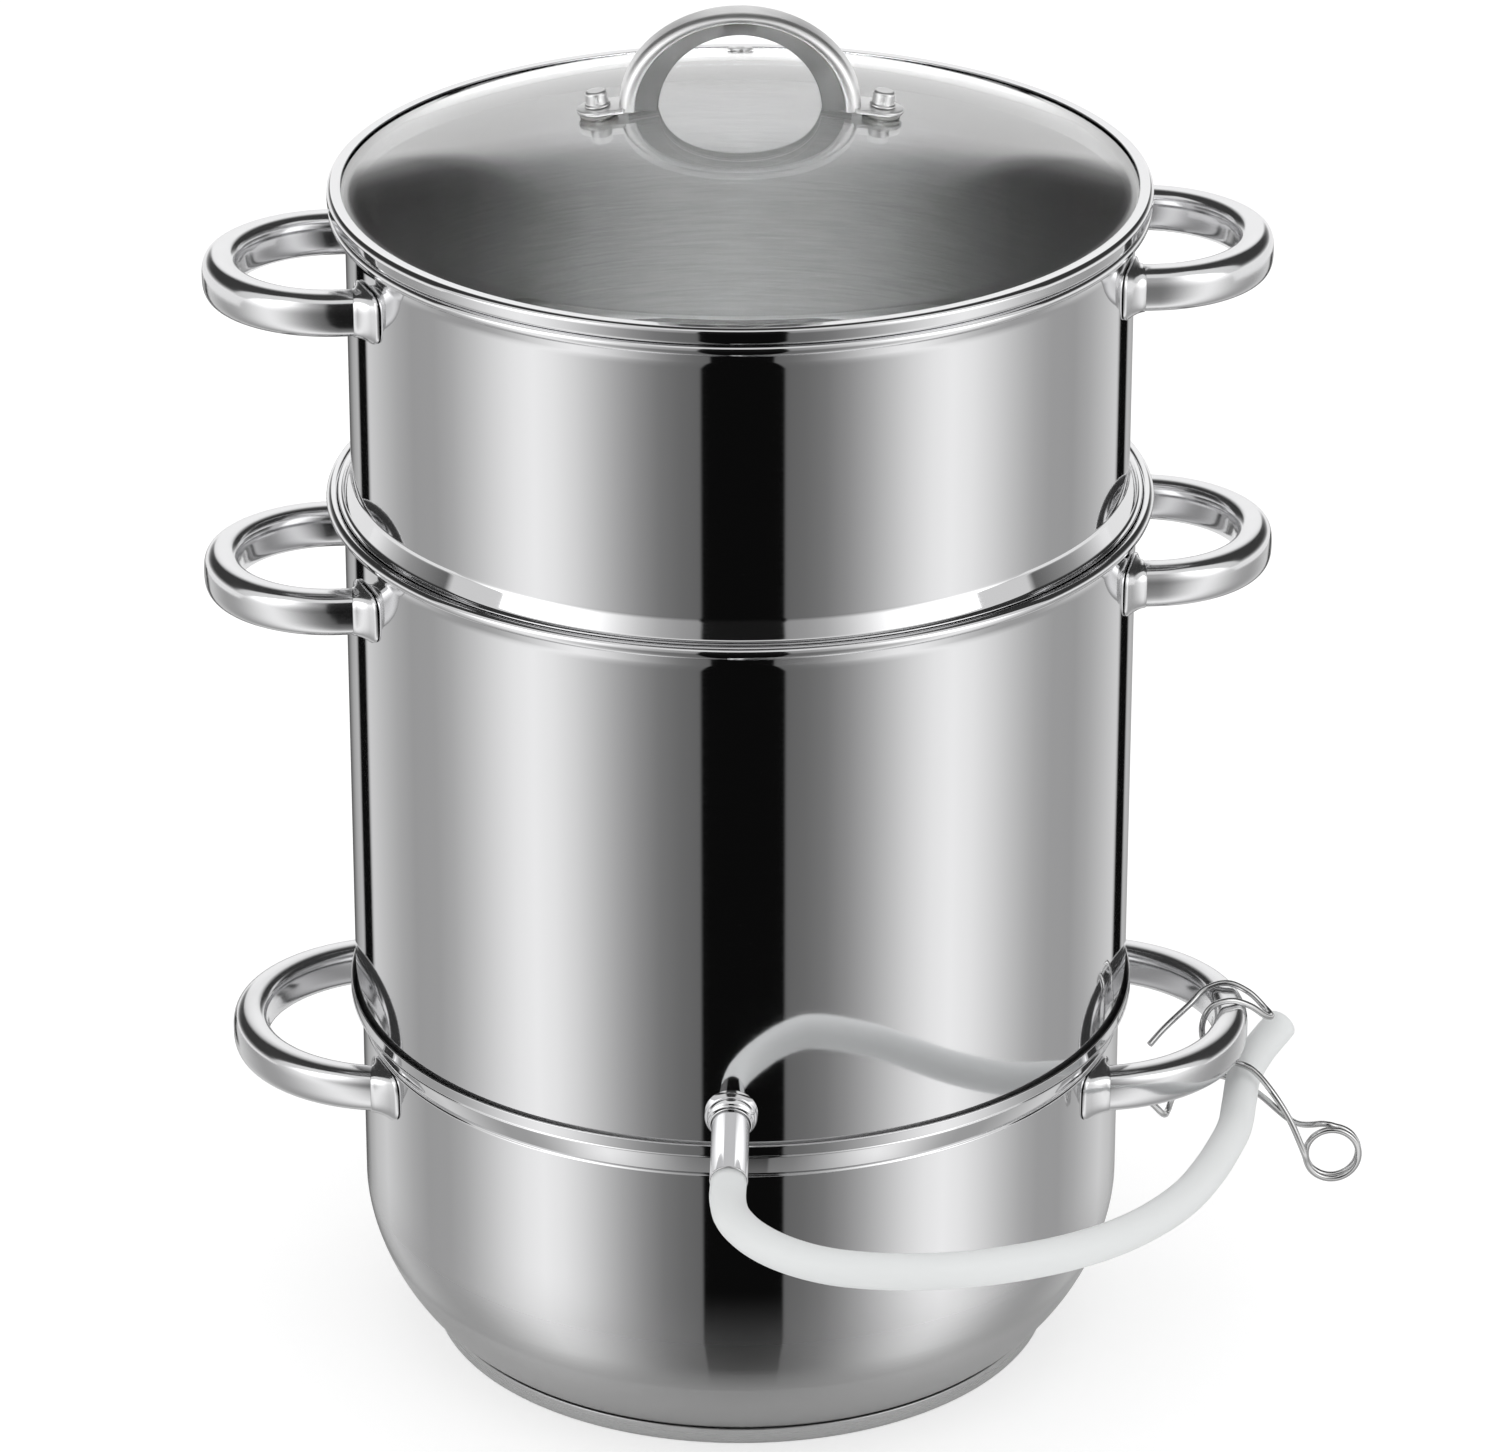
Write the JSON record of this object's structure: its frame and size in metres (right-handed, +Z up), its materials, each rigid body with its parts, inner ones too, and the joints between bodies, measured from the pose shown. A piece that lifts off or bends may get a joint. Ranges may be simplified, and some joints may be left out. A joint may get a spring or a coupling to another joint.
{
  "type": "steam juicer",
  "caption": "Tiered steam juicer: water pan, juice kettle with steam funnel, spout and hose, perforated basket, domed glass lid with arched handle, wire hose clamp.",
  "frame": {"origin": "centre of the pan's base disc, on the surface that the juicer stands on", "axes": "+Z up along the axis of the stacked vessels, -Y towards the spout at the front, +X towards the handle that carries the clamp"},
  "size_m": [0.3896, 0.3527, 0.4696],
  "materials": {
    "polished_steel": "mirror polished",
    "satin_steel": "satin brushed",
    "spring_wire": "bright drawn wire",
    "aluminium_core": "plain",
    "tempered_glass": "clear",
    "milky_silicone": "translucent, smooth",
    "washer_silicone": "matt"
  },
  "bodies": {
    "pan": {"pan_body": "polished_steel", "pan_base_core": "aluminium_core", "pan_base_cap": "satin_steel", "pan_handle_left": "polished_steel", "pan_handle_right": "polished_steel", "pan_bracket_left_near": "polished_steel", "pan_bracket_left_far": "polished_steel", "pan_bracket_right_near": "polished_steel", "pan_bracket_right_far": "polished_steel", "clamp_hook_wire": "spring_wire"},
    "kettle": {"kettle_bracket_left_near": "polished_steel", "kettle_bracket_left_far": "polished_steel", "kettle_bracket_right_near": "polished_steel", "kettle_bracket_right_far": "polished_steel", "kettle_body": "polished_steel", "kettle_steam_funnel": "polished_steel", "kettle_handle_left": "polished_steel", "kettle_handle_right": "polished_steel", "spout_collar": "polished_steel", "spout_tube": "polished_steel", "juice_hose": "milky_silicone"},
    "basket": {"basket_bracket_left_near": "polished_steel", "basket_bracket_left_far": "polished_steel", "basket_bracket_right_near": "polished_steel", "basket_bracket_right_far": "polished_steel", "basket_body": "polished_steel", "basket_handle_left": "polished_steel", "basket_handle_right": "polished_steel"},
    "lid": {"lid_glass": "tempered_glass", "lid_rim_band": "polished_steel", "lid_vent_eyelet": "polished_steel", "lid_handle": "satin_steel", "lid_cap_nut_left": "polished_steel", "lid_screw_left": "polished_steel", "lid_upper_washer_left": "washer_silicone", "lid_lower_washer_left": "washer_silicone", "lid_cap_nut_right": "polished_steel", "lid_screw_right": "polished_steel", "lid_upper_washer_right": "washer_silicone", "lid_lower_washer_right": "washer_silicone"},
    "clamp_jaw": {"clamp_jaw_wire": "spring_wire"}
  },
  "joints": [
    {"name": "kettle_lift", "type": "slide", "parent": "pan", "child": "kettle", "axis": [0, 0, 1], "range_m": [0, 0.045], "deforming": ["juice_hose"]},
    {"name": "basket_lift", "type": "slide", "parent": "kettle", "child": "basket", "axis": [0, 0, 1], "range_m": [0, 0.06]},
    {"name": "lid_lift", "type": "slide", "parent": "basket", "child": "lid", "axis": [0, 0, 1], "range_m": [0, 0.06]},
    {"name": "clamp_squeeze", "type": "hinge", "parent": "pan", "child": "clamp_jaw", "pos_m": [0.2025, -0.019, 0.0643], "axis": [0, -1, 0], "range_deg": [0, 10], "stiffness_Nm_per_rad": 0.08}
  ]
}
